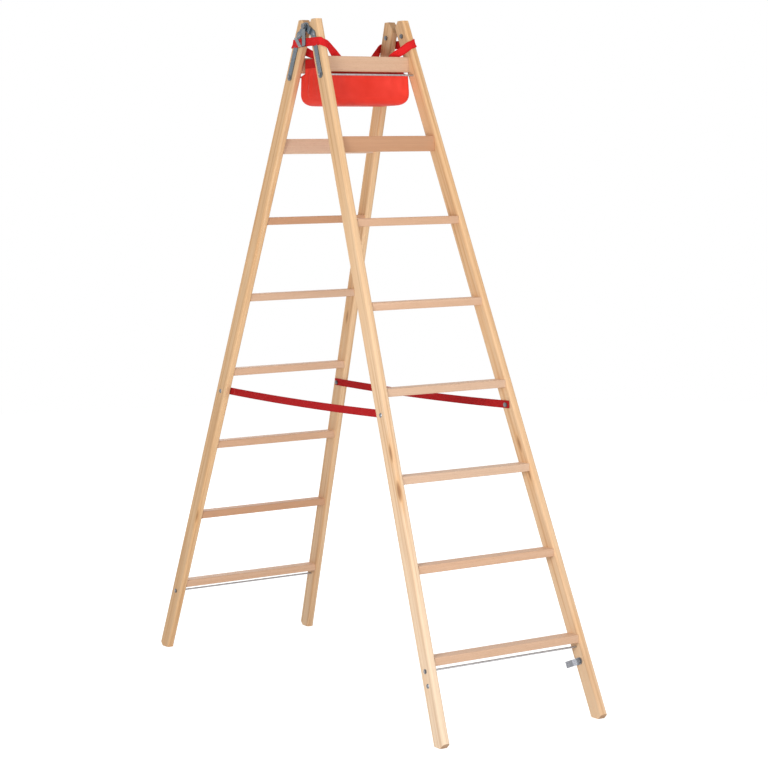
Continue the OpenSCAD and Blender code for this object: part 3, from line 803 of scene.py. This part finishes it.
def harness_route(name, side):
    """Middle line and across direction of a strap's front half, from the hem outwards on the right."""
    lean_sin, lean_cos = math.sin(LEAN), math.cos(LEAN)
    level_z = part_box(name)[1].z - WEB_WIDTH / 2
    lift = WEB_THICK / 2 + STRAP_GAP
    wrap = STILE_ROUND + lift
    inner = stile_inner(level_z)
    outer = inner + STILE_THICK / math.cos(SPLAY)
    upright = Vector((0, 0, -1))
    sloping = Vector((lean_sin, -lean_sin * lean_cos, -lean_cos ** 2))
    hem_y = -(BOARD_BACK - WEB_THICK / 2 - HEM_THICK / 2)
    sewn_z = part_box("tool_bag")[1].z - WEB_WIDTH / 2

    def on_hem(z):
        """A point on the hem, where the webbing slopes up outwards."""
        return Vector((SEWN_X[side] + z - sewn_z, hem_y, z))

    def on_front(x):
        """A point on the front face, where the webbing slopes down inwards."""
        z = level_z - (outer - x) * lean_sin
        return Vector((x, stile_front(z) - lift / lean_cos, z))

    over = on_hem(BOARD_TOP + 2 * WEB_THICK)
    leave = on_front(inner)
    corner = Vector((outer - STILE_ROUND, stile_front(level_z) + STILE_ROUND, level_z))
    slant = wrap * math.sqrt(0.5)
    route = [
        (on_hem(sewn_z), HEM_ACROSS),
        (on_hem(BOARD_TOP - 3 * WEB_THICK), HEM_ACROSS),
        (over, OVER_ACROSS),
        (over.lerp(leave, 0.5) + SPAN_DIP, SPAN_ACROSS),
        (leave + LEAVE_SHIFT, sloping),
        (on_front(inner + STILE_ROUND), sloping),
        (on_front(outer - STILE_ROUND), sloping),
        (corner + Vector((slant, -slant, 0)), sloping.lerp(upright, 0.5)),
        (corner + Vector((wrap, STILE_ROUND / 2, 0)), upright),
    ]
    leaf_x = outer + LEAF_THICK + lift
    return route + [(Vector((leaf_x, -reach, level_z)), upright) for reach in LEAF_REACHES]


def harness(side, materials):
    name = SIDES[side] + "_harness_strap"
    half = harness_route(name, side)
    back = [(Vector((p.x, -p.y, p.z)), Vector((a.x, -a.y, a.z))) for p, a in reversed(half)]
    route = [(Vector((side * p.x, p.y, p.z)), Vector((side * a.x, a.y, a.z))) for p, a in half + back]
    line = curve_through([p for p, _ in route])
    acrosses = curve_through([a for _, a in route])
    draft = Draft()
    add_strap(draft, strap_frames(line, acrosses), WEB_WIDTH)
    for start, after in ((route[0], route[1]), (route[-1], route[-2])):
        sew_end(draft, start[0], (after[0] - start[0]).normalized())
    piece = make_piece(name + "_web", draft, materials)
    fold_between(piece)
    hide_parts(name)


def sew_end(draft, start, along):
    """The box of stitches that holds a strap's end to the hem, on the strap's outer face."""
    face = Vector((0, math.copysign(1, start.y), 0))
    side = face.cross(along) * (SEWN_HALF * WEB_WIDTH)
    near = start + along * SEWN_START + face * (WEB_THICK / 2 + STITCH_RADIUS / 2)
    far = near + along * SEWN_LENGTH
    corners = [near - side, near + side, far + side, far - side]
    for a, b in SEWN_BOX:
        add_seam(draft, corners[a], corners[b], face)


def fold_between(piece):
    """Bakes the piece's place into its mesh."""
    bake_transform(piece)


# Tool bag

bag_low, bag_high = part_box("tool_bag")
BAG_HEIGHT = bag_high.z - bag_low.z
BAG_MOUTH = BOARD_BACK - WEB_THICK - MOUTH_GAP - HEM_THICK
BAG_SIDE_GAP = stile_inner(bag_low.z + BELLY_SHARE * BAG_HEIGHT) - bag_high.x


def ease(value, low, high):
    """A smooth step from 0 at low to 1 at high."""
    t = min(1.0, max(0.0, (value - low) / (high - low)))
    return t * t * (3 - 2 * t)


def swell(share, full):
    """The bag's rounded growth from 0 at its floor to 1 at the full share."""
    return (1 - (1 - share / full) ** BAG_POWER) ** (1 / BAG_POWER)


def bag_depth(share):
    """Half depth of the bag at a share of its height."""
    belly = bag_high.y
    if share < BELLY_SHARE:
        return belly * (FLOOR_SHARE + (1 - FLOOR_SHARE) * swell(share, BELLY_SHARE))
    return BAG_MOUTH + (belly - BAG_MOUTH) * (1 - ease(share, CREST_SHARE, SHOULDER_SHARE))


def bag_length(share):
    """Half length of the bag at a share of its height."""
    z = bag_low.z + BAG_HEIGHT * share
    corner = BAG_CORNER * (1 - swell(share, RISE_SHARE)) if share < RISE_SHARE else 0.0
    return stile_inner(z) - BAG_SIDE_GAP - corner - HEM_THICK


def ring_places():
    """Places round the bag: which side or corner, and the share along it."""
    places = []
    for side in TURNS:
        steps = SIDE_STEPS if side in ("front", "rear") else END_STEPS
        places += [(side, k / steps) for k in range(steps)]
        places += [(side + "_corner", k / ROUND_STEPS) for k in range(ROUND_STEPS)]
    return places


def ring_out(place):
    """Outward direction at a place round the bag."""
    side, share = place
    turn = TURNS[side.split("_")[0]]
    if side.endswith("corner"):
        turn += share
    a = math.radians(90 * turn - 90)
    return Vector((math.cos(a), math.sin(a)))


def ring_point(place, half_length, half_depth, round_r):
    """Point on a level outline with round corners, starting at the front left."""
    side, share = place
    turn = TURNS[side.split("_")[0]]
    flat_x, flat_y = half_length - round_r, half_depth - round_r
    if side.endswith("corner"):
        middles = [(flat_x, -flat_y), (flat_x, flat_y), (-flat_x, flat_y), (-flat_x, -flat_y)]
        return Vector(middles[turn]) + round_r * ring_out(place)
    starts = [(-flat_x, -half_depth), (half_length, -flat_y), (flat_x, half_depth), (-half_length, flat_y)]
    ends = [(flat_x, -half_depth), (half_length, flat_y), (-flat_x, half_depth), (-half_length, -flat_y)]
    return Vector(starts[turn]).lerp(Vector(ends[turn]), share)


def fold_height(folds, across, share):
    """Height of the folds of a panel at a place across it and a share of the bag's height."""
    total = 0.0
    for place, half_width, height, lean, start, end in folds:
        off = (across - place - lean * BAG_HEIGHT * (share - 0.5)) / half_width
        fade = ease(share, start, start + FOLD_FADE_IN) * (1 - ease(share, end - FOLD_FADE_OUT, end))
        dip = FOLD_DIP * math.exp(-((off - FOLD_DIP_PLACE) ** 2))
        total += height * fade * (math.exp(-off * off) - dip)
    return total


def bag_point(place, share):
    half_length, half_depth = bag_length(share), bag_depth(share)
    belly = ease(share, 0.0, BELLY_SHARE) * (1 - ease(share, CREST_SHARE, SHOULDER_SHARE))
    round_r = min(MOUTH_ROUND + (BELLY_ROUND - MOUTH_ROUND) * belly, ROUND_LIMIT * half_depth)
    flat = ring_point(place, half_length, half_depth, round_r)
    side = place[0]
    if side in ("front", "rear"):
        rise = fold_height(SIDE_FOLDS, flat.x if side == "front" else -flat.x, share)
        rise += PANEL_CROWN * belly * (1 - (flat.x / half_length) ** 2)
    elif side in ("left", "right"):
        rise = fold_height(END_FOLDS, flat.y, share)
    else:
        rise = 0.0
    flat = flat + ring_out(place) * rise
    return Vector((flat.x, flat.y, bag_low.z + BAG_HEIGHT * share))


def tool_bag(cloth, lining):
    places = ring_places()
    shares = [(k / BAG_RINGS) ** RING_CROWDING for k in range(BAG_RINGS + 1)]
    rows = []
    rim = [bag_point(place, 0.0) for place in places]
    deep = bag_depth(0.0) / bag_length(0.0)
    for k in range(FLOOR_RINGS):
        part = FLOOR_MIDDLE + (1 - FLOOR_MIDDLE) * k / FLOOR_RINGS
        rows.append([Vector((p.x * (1 - deep + deep * part), p.y * part, p.z)) for p in rim])
    rows += [[bag_point(place, share) for place in places] for share in shares]
    weave = woven_rows(rows)
    draft = Draft()
    first = draft.skin(rows, weave)
    draft.cap(first, len(places), weave[0], flip=True)
    bag = make_piece("tool_bag_cloth", draft, [cloth, lining])
    wall = bag.modifiers.new("wall", "SOLIDIFY")
    wall.thickness = BAG_WALL
    wall.offset = -1.0
    wall.material_offset = 1
    wall.material_offset_rim = 0
    settle(bag)
    fold_between(bag)
    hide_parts("tool_bag")


def woven_rows(rows):
    """Lengths round and up a closed skin, in metres, for its weave."""
    weave = []
    up = 0.0
    for r, row in enumerate(rows):
        if r:
            up += (row[0] - rows[r - 1][0]).length
        around = [0.0]
        for a, b in zip(row, [*row[1:], row[0]]):
            around.append(around[-1] + (b - a).length)
        weave.append([(length, up) for length in around])
    return weave


def settle(piece):
    """Applies the piece's modifiers to its mesh."""
    graph = bpy.context.evaluated_depsgraph_get()
    made = bpy.data.meshes.new_from_object(piece.evaluated_get(graph))
    piece.modifiers.clear()
    piece.data = made


def hem_section():
    """The bound edge's outline over the wall, as (lift from its outer face, share of the hem's height)."""
    section = [(HEM_THICK, k / HEM_STEPS) for k in range(HEM_STEPS + 1)]
    for angle in HEM_TURNS:
        a = math.radians(angle)
        lift = HEM_THICK * math.cos(a) - BAG_WALL * (1 - math.cos(a)) / 2
        section.append((lift, 1 + HEM_THICK * math.sin(a) / HEM_HEIGHT))
    return section + [(-BAG_WALL - HEM_THICK, 1 - k / HEM_STEPS) for k in range(HEM_STEPS + 1)]


def bag_hem(materials):
    """A bound edge folded over the bag's mouth and sewn along its lower side."""
    foot = (BAG_HEIGHT - HEM_HEIGHT) / BAG_HEIGHT
    rows = []
    for lift, share in hem_section():
        z = bag_high.z - HEM_HEIGHT * (1 - share) - HEM_THICK
        row = []
        for place in ring_places():
            base = bag_point(place, min(1.0, foot + (1 - foot) * share))
            out = ring_out(place)
            rise = lift + HEM_WAVE * math.sin(HEM_WAVE_RATE * (base.x + base.y))
            row.append(Vector((base.x + out.x * rise, base.y + out.y * rise, z)))
        rows.append(row)
    draft = Draft()
    draft.skin(rows, woven_rows(rows))
    for share in HEM_SEAMS:
        sew_round(draft, rows, share)
    hem = make_piece("tool_bag_hem", draft, materials)
    fold_between(hem)


def sew_round(draft, rows, share):
    """A row of stitches round the hem's outer face, at a share of its height."""
    line = [a.lerp(b, share) for a, b in zip(rows[0], rows[HEM_STEPS])]
    for a, b in zip(line, [*line[1:], line[0]]):
        if (b - a).length < SHORT_STITCH * STITCH_LENGTH:
            continue
        along = (b - a).normalized()
        face = along.cross(UP)
        add_stitch(draft, (a + b) / 2 + face * (STITCH_RADIUS / 2), along, face)


# Finishes of the frame's own pieces


def stile_turn(side, end):
    """Stile space: x out of the outer face, y across the depth, z up the grain."""
    return Matrix.Rotation(end * LEAN, 3, "X") @ Matrix.Rotation(-side * SPLAY, 3, "Y")


RUNG_TURN = Matrix(((0, 0, 1), (1, 0, 0), (0, 1, 0)))


def dress(node, material):
    data = nodes[node].data
    data.materials.clear()
    data.materials.append(material)


def dress_wood():
    for end, end_name in ENDS.items():
        for side, side_name in SIDES.items():
            corner = end_name + "_" + side_name
            node = corner + "_stile"
            turn = stile_turn(side, end)
            seed = STILE_SEED + STILE_SEED_STEP * (side + 2 * end)
            dress(node, pine("pine_" + node, turn, middle(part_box(node)), seed, FOOT_PAINTED_LIGHT[corner]))
        for i in range(1, RUNGS + 1):
            node = end_name + "_rung_" + str(i)
            seed = RUNG_SEED_STEP * i + FRAME_SEED_STEP * end
            light = DARK_RUNGS.get(node, 1.0) * (1.0 + RUNG_TONE * math.sin(RUNG_TONE_RATE * seed))
            pale_share = PALE_RUNGS.get(node, 0.0)
            dress(node, beech("beech_" + node, RUNG_TURN, middle(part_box(node)), seed, light, pale_share))


def dress_metal():
    finishes = {finish: zinc("zinc_" + finish, *look) for finish, look in ZINC.items()}
    for part in frame["record"]["subparts"]:
        node, slot = part["node"], part["material_slot"]
        if node == "transport_catch":
            dress(node, finishes["catch"])
        elif node.endswith("_tie_rod"):
            dress(node, finishes["rod"])
        elif slot in ZINC_SLOTS:
            dress(node, finishes[ZINC_SLOTS[slot]])


# Stage


def seen_ray(tree):
    """1 for rays that see the background straight, in a gloss or through a clear piece, 0 for the rest."""
    rays = add(tree, "ShaderNodeLightPath").outputs
    mirrored = calc(tree, "MAXIMUM", rays["Is Glossy Ray"], rays["Is Transmission Ray"])
    return calc(tree, "MAXIMUM", rays["Is Camera Ray"], mirrored)


def make_sky():
    world = bpy.data.worlds.new("studio")
    bpy.context.scene.world = world
    world.use_nodes = True
    tree = world.node_tree
    shader = next(n for n in tree.nodes if n.type == "BACKGROUND")
    strength = calc(tree, "MULTIPLY_ADD", seen_ray(tree), 1.0 - SKY_LIGHT, SKY_LIGHT)
    join(tree, shader, Color=(1.0, 1.0, 1.0), Strength=strength)


def floor_material():
    material, tree, shader = new_material("floor")
    output = next(n for n in tree.nodes if n.type == "OUTPUT_MATERIAL")
    tree.nodes.remove(shader)
    pale = add(tree, "ShaderNodeBsdfDiffuse", {"Color": [FLOOR_PALE] * 3})
    shaded = add(tree, "ShaderNodeBsdfDiffuse", {"Color": [FLOOR_WHITE] * 3})
    glow = add(tree, "ShaderNodeEmission", {"Strength": FLOOR_GLOW})
    both = add(tree, "ShaderNodeAddShader", {0: shaded.outputs[0], 1: glow.outputs[0]})
    final = add(tree, "ShaderNodeMixShader", {0: seen_ray(tree), 1: pale.outputs[0], 2: both.outputs[0]})
    tree.links.new(final.outputs[0], output.inputs["Surface"])
    return material


def make_floor():
    material = floor_material()
    mesh = bpy.data.meshes.new("floor")
    rim = [math.radians(360 * k / FLOOR_STEPS) for k in range(FLOOR_STEPS)]
    points = [(FLOOR_RADIUS * math.cos(a), FLOOR_RADIUS * math.sin(a), 0.0) for a in rim]
    mesh.from_pydata(points, [], [list(range(FLOOR_STEPS))])
    mesh.materials.append(material)
    floor = new_object("floor", mesh)


def make_lamps():
    for name, lamp in LAMPS.items():
        data = bpy.data.lights.new(name, "AREA")
        data.shape = "DISK"
        data.size = lamp["size"]
        data.energy = lamp["power"]
        light = new_object(name, data)
        light.location = lamp["place"]
        light.rotation_euler = (Vector(lamp["aim"]) - light.location).to_track_quat("-Z", "Y").to_euler()


def make_camera():
    data = bpy.data.cameras.new("camera")
    data.sensor_width = CAMERA_SENSOR
    data.lens = CAMERA_LENS
    camera = new_object("camera", data)
    turn = Matrix.Rotation(-math.radians(CAMERA_YAW), 4, "Z")
    turn = turn @ Matrix.Rotation(math.radians(90 - CAMERA_PITCH), 4, "X")
    turn = turn @ Matrix.Rotation(math.radians(CAMERA_ROLL), 4, "Z")
    camera.matrix_world = Matrix.Translation(CAMERA_PLACE) @ turn
    bpy.context.scene.camera = camera
    bpy.context.scene.view_settings.view_transform = "Standard"


make_camera()
make_sky()
make_floor()
make_lamps()
dress_wood()
dress_metal()

sewing = thread("thread", THREAD_RED)
spreader_web = webbing("spreader_webbing", WEB_RED)
harness_web = webbing("harness_webbing", HARNESS_RED)
for side in SIDES:
    spreader(side, [spreader_web, sewing])
    harness(side, [harness_web, sewing])
bag_cloth = coated_cloth("bag_cloth", BAG_RED, BAG_ROUGH)
bag_lining = coated_cloth("bag_lining", toned(BAG_RED, LINING_DARK), LINING_ROUGH)
# The hem's cloth is darkened with painted shade on top of its own deeper red
hem_cloth_and_shade = coated_cloth("hem_cloth_and_shade", HEM_RED_AND_SHADE, HEM_ROUGH)
tool_bag(bag_cloth, bag_lining)
bag_hem([hem_cloth_and_shade, sewing])
